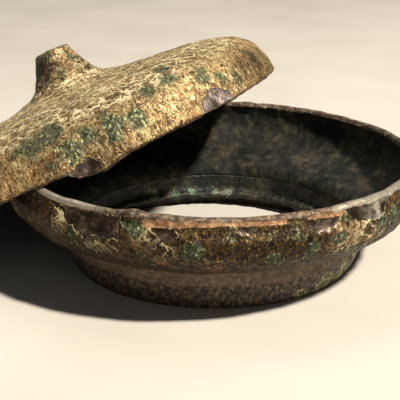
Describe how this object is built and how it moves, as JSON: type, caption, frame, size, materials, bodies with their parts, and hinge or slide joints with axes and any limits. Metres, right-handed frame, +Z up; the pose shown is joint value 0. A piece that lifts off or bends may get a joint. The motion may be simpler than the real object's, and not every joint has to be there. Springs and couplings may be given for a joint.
{
  "type": "inkwell",
  "caption": "Low round cast bronze inkwell bowl on a foot ring, open at the bottom round a ledge for an ink pot, with a loose hat-shaped lid leaning off its rim.",
  "frame": {"origin": "bottom centre of the bounding box of the whole set as it stands, lid leaning", "axes": "+Z up from the table; +X to the right and +Y away as seen from the front, with the lid leaning down to the back left"},
  "size_m": [0.1354, 0.1276, 0.053],
  "materials": {
    "bowl_bronze": "old cast bronze with flaking gold-tan and verdigris crust, bare worn rim, sooty inside",
    "foot_bronze": "dusty dark brown cast bronze with pale and green flecks",
    "lid_bronze": "old cast bronze with a crackled gold, cream and green crust",
    "knob_bronze": "worn cast bronze with a crackled gold and green crust",
    "washer_brass": "dull aged brass"
  },
  "bodies": {
    "base": {"bowl_body": "bowl_bronze", "foot_ring": "foot_bronze"},
    "lid": {"lid_shell": "lid_bronze", "lid_knob": "knob_bronze", "stud_washer": "washer_brass"}
  },
  "joints": [
    {"name": "lid_lift", "type": "slide", "parent": "base", "child": "lid", "axis": [0, 0, 1], "range_m": [0, 0.07]}
  ]
}
